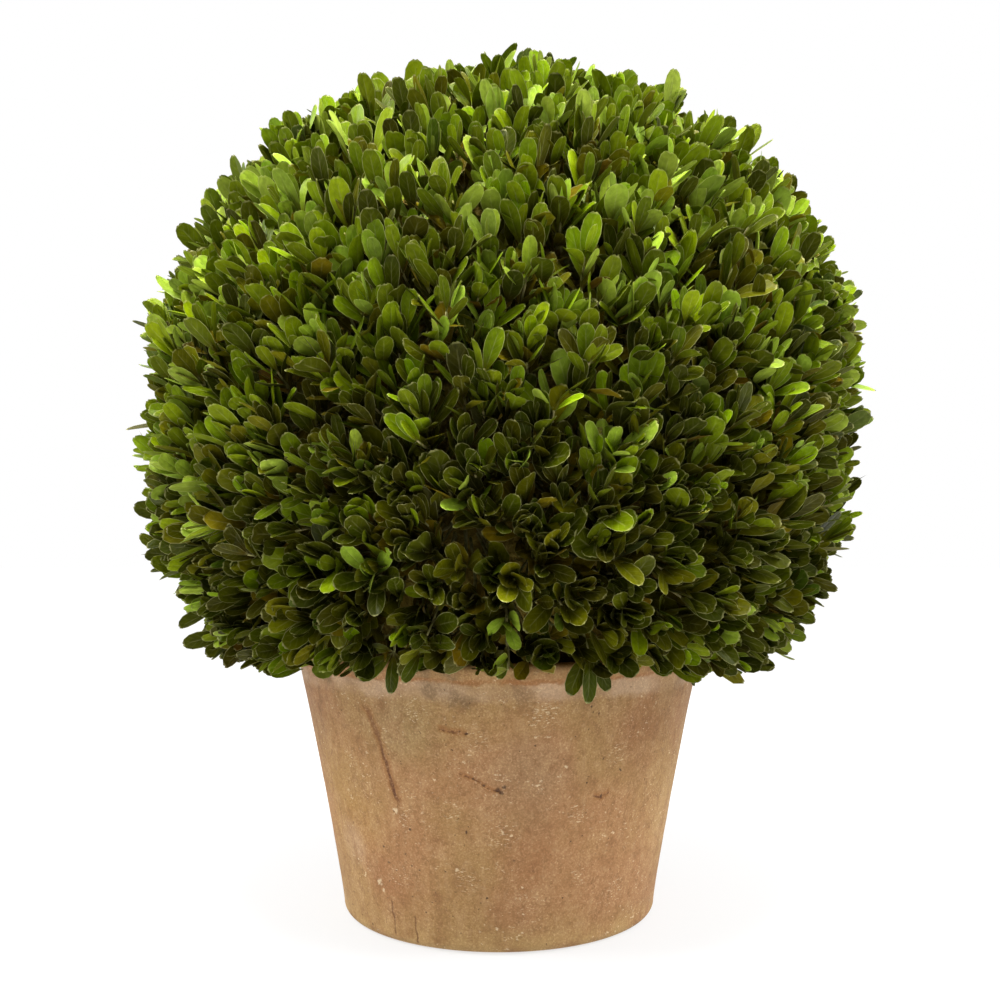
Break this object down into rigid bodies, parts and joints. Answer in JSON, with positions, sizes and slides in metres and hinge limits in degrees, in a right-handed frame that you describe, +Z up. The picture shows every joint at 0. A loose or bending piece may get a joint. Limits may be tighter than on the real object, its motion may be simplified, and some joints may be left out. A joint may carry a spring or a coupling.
{
  "type": "clipped box topiary ball in a terracotta pot",
  "caption": "Evergreen shrub clipped to a leafy ball, on a short hidden stem in a soil-filled, gently flared terracotta pot.",
  "frame": {"origin": "middle of the pot's flat underside, on the surface that the plant stands on", "axes": "+Z up along the pot's axis through the ball; +X to the right and -Y towards the viewer, though the plant has no marked front"},
  "size_m": [0.3388, 0.3368, 0.3975],
  "materials": {
    "terracotta": "unglazed, mottled and weathered",
    "soil": "dark, crumbly and dull",
    "bark": "rough, finely fissured",
    "foliage": "leathery leaves with a soft sheen"
  },
  "bodies": {
    "root": {"pot": "terracotta", "soil": "soil", "stem": "bark", "foliage_ball": "foliage"}
  },
  "joints": []
}
